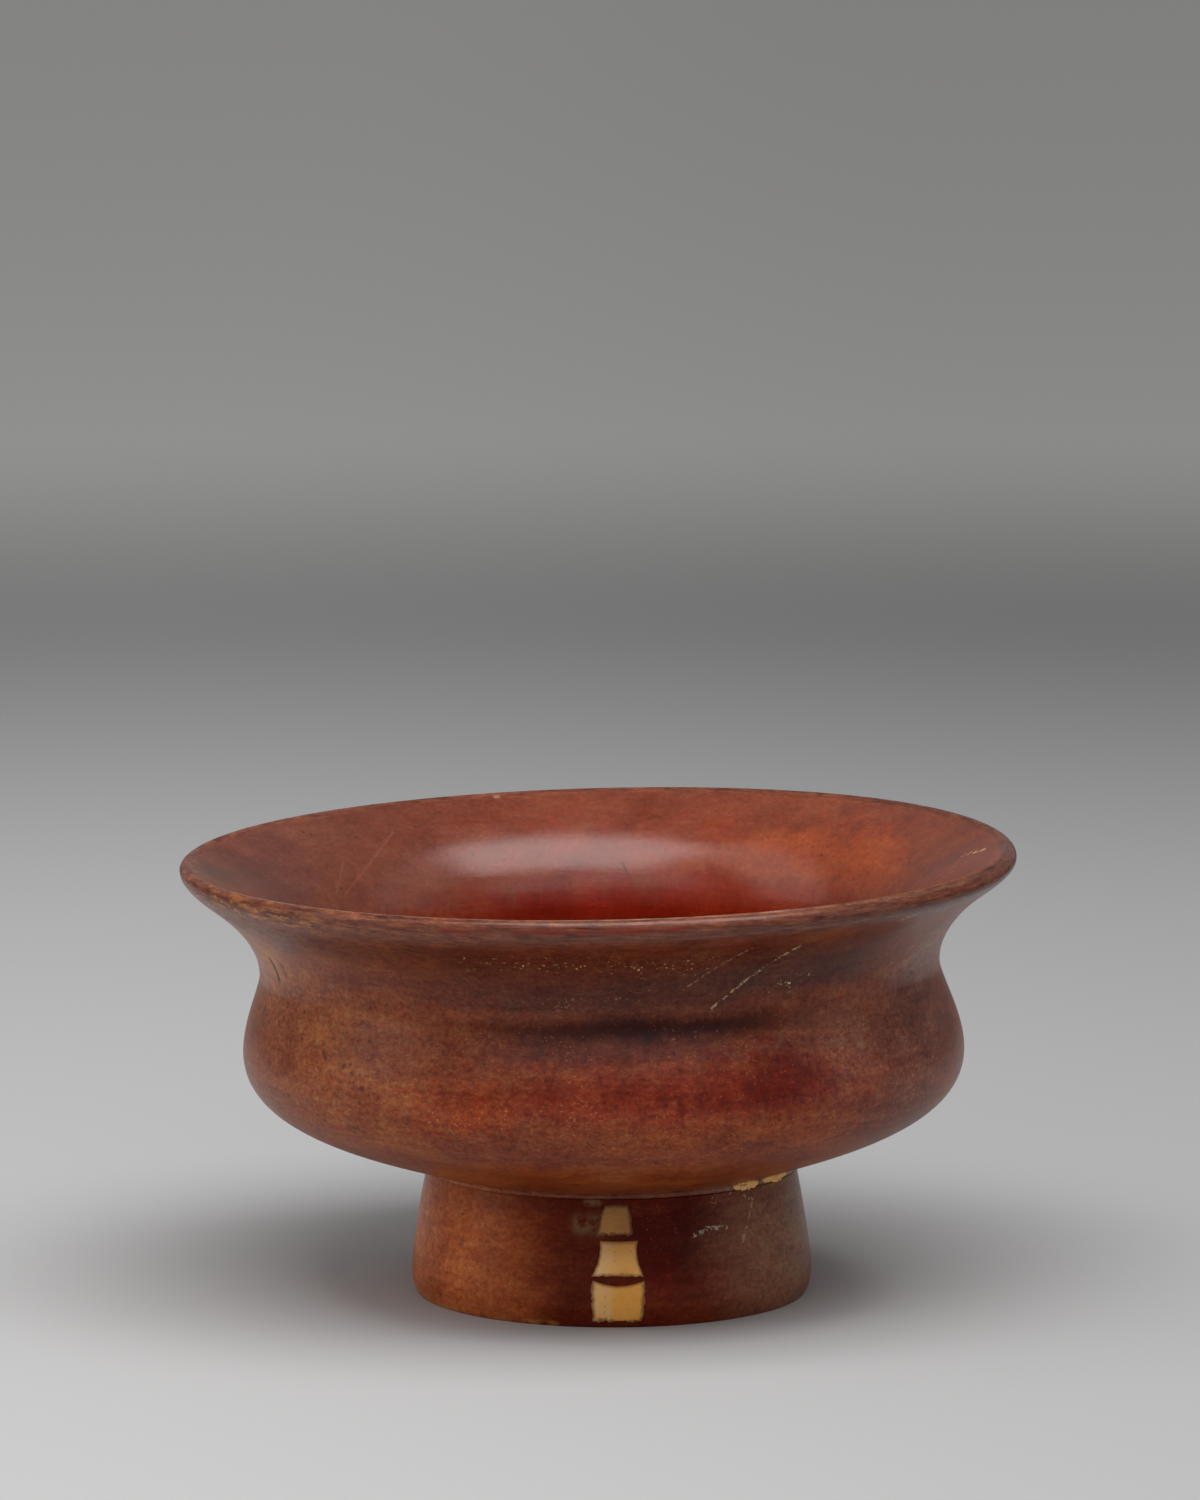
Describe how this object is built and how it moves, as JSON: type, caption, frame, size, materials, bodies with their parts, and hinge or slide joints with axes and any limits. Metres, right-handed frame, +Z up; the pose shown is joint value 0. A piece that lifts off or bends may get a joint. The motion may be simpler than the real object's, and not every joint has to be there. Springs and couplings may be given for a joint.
{
  "type": "footed bowl",
  "caption": "Wide red-slipped earthenware drinking bowl with a flaring lip, a drawn-in neck and a round belly, luted to a hollow pedestal foot with old pale fills.",
  "frame": {"origin": "on the table under the middle of the rim", "axes": "+Z up out of the bowl, -Y towards the side with the filled foot, +X to the right of that side"},
  "size_m": [0.12, 0.12, 0.0649],
  "materials": {
    "red_slip": "burnished satin slip, worn along the lip",
    "foot_red_slip": "burnished satin slip over a dry underside",
    "luting_clay": "matt slip, wiped by hand",
    "pale_fill": "dry scraped filler",
    "stained_fill": "dry filler stained brown"
  },
  "bodies": {
    "root": {"bowl": "red_slip", "foot_ring": "foot_red_slip", "luting_slip": "luting_clay", "lower_foot_fill": "pale_fill", "upper_foot_fill": "pale_fill", "stained_foot_fill": "stained_fill", "front_seam_fill": "pale_fill", "side_seam_fill": "pale_fill"}
  },
  "joints": []
}
